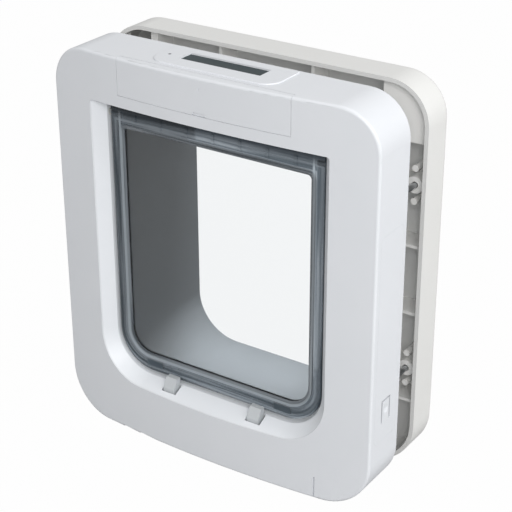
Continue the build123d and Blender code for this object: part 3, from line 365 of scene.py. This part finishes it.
# Pane: a clear polycarbonate sheet in the rim's groove, with a trace of haze from handling.
# The outdoors shows through it as plain white.
haze_width, haze_roughness = 0.0333, 0.03
clear = bpy.data.materials.new("clear_polycarbonate")
clear.use_nodes = True
clear_shader = clear.node_tree.nodes["Principled BSDF"]
clear_shader.inputs["Base Color"].default_value = linear("#fafcfd")
clear_shader.inputs["IOR"].default_value = 1.5
clear_shader.inputs["Specular IOR Level"].default_value = 0.3
clear_shader.inputs["Transmission Weight"].default_value = 1.0
clear_place = add_node(clear, "ShaderNodeTexCoord")
clear_haze = add_node(clear, "ShaderNodeTexNoise", None,
                      {"Vector": clear_place.outputs["Object"], "Scale": 1 / haze_width, "Detail": 4.0})
clear_wiped = add_node(clear, "ShaderNodeMapRange", None,
                       {"Value": clear_haze.outputs["Fac"], "To Max": haze_roughness})
clear.node_tree.links.new(clear_wiped.outputs[0], clear_shader.inputs["Roughness"])
dress(clear, "flap_pane")

# Flap fittings: plated magnets let into the rim, and steel pins that turn in acetal bushes.
# The magnets match two more that are glued under the sill.
plated = bright_steel("nickel_plated_magnet", "#5f6a72", "#6c777f", 0.4)
dress(plated, "flap_magnets", "sill_magnets")
dress(steel, "hinge_pin_left", "hinge_pin_right")
acetal = moulded("natural_acetal", "#dcdcd6", "#e4e4df", 0.36)
dress(acetal, "hinge_bush_left", "hinge_bush_right")

# Lock: two ramped catches of pale grey ABS stand out of the sill, each on a wire spring.
# A slotted acetal bar draws them down, pushed by the pinion of a small can motor.
catch_abs = moulded("pale_grey_abs_catch", "#b9bdc0", "#c1c5c8", 0.4)
dress(catch_abs, "catch_left", "catch_right")
dress(steel, "catch_spring_left", "catch_spring_right", "motor_shaft", "lock_motor")
dress(acetal, "lock_bar", "lock_pinion")
dress(switch_black, "motor_bracket")
# The springs give way under the catches. Copies of them, with doubled points merged, ride with the
# housing in place of the CAD springs.
catch_travel, merge_distance = 0.008, 0.000001
for side in ("left", "right"):
    spring = bpy.data.objects.new(f"catch_coil_{side}", nodes[f"catch_spring_{side}"].data.copy())
    bpy.context.scene.collection.objects.link(spring)
    bpy.ops.object.select_all(action="DESELECT")
    spring.select_set(True)
    bpy.context.view_layer.objects.active = spring
    bpy.ops.object.mode_set(mode="EDIT")
    bpy.ops.mesh.select_all(action="SELECT")
    bpy.ops.mesh.remove_doubles(threshold=merge_distance)
    bpy.ops.object.mode_set(mode="OBJECT")
    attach(spring, "housing")
    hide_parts(f"catch_spring_{side}")
    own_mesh(spring)

# Tunnel: grey ABS sleeve in two lengths, a flanged neck in the housing and the sleeve through the door.
# The antenna that reads the animal's chip is wound round the neck in enamelled copper wire.
# The sleeve's dark grey is partly painted shade, set dark so that the tunnel's inside stays dim.
grey_abs = moulded("grey_abs_tunnel_with_painted_shade", "#676c70", "#6e7377", 0.4)
dress(grey_abs, "tunnel_neck", "tunnel")
# Turns of 0.5 mm wire are drawn 1.3 mm apart so that they show, as bands of painted highlight on each
# turn and painted shade between turns. A wave of scale 1 is pi / 10 long.
turn_spacing = 0.0013
copper = bpy.data.materials.new("enamelled_copper_winding")
copper.use_nodes = True
copper_shader = copper.node_tree.nodes["Principled BSDF"]
copper_shader.inputs["Metallic"].default_value = 0.85
copper_shader.inputs["Roughness"].default_value = 0.32
copper_place = add_node(copper, "ShaderNodeTexCoord")
copper_turns = add_node(copper, "ShaderNodeTexWave", {"bands_direction": "Y"},
                        {"Vector": copper_place.outputs["Object"], "Scale": math.pi / 10 / turn_spacing,
                         "Distortion": 0.3})
copper_tone = add_node(copper, "ShaderNodeMix", {"data_type": "RGBA"},
                       {"Factor": copper_turns.outputs["Fac"], 6: linear("#6b3416"), 7: linear("#b4672f")})
copper.node_tree.links.new(copper_tone.outputs[2], copper_shader.inputs["Base Color"])
dress(copper, "antenna_coil")

# Outdoor frame: a ribbed tray of ABS, a shade warmer than the housing, with a collar round the tunnel.
# The ribs and pads inside are painted lighter than the tray: painted light for the gap behind the
# housing, which the lamps barely reach. Long screws through the door draw it to the housing, and plain
# caps cover their heads.
warm_abs = moulded("warm_white_abs_outdoor", "#d7d7d5", "#dbdbd9", 0.44)
dress(warm_abs, "rear_frame", "rear_collar", "screw_caps")
# Painted light: the ribs and pads take a lighter white than the tray.
ribs_painted_light_abs = moulded("white_abs_ribs_painted_light", "#ecebe8", "#f0efec", 0.44)
dress(ribs_painted_light_abs, "rear_ribs")
dress(steel, "fixing_screws", "housing_screws")
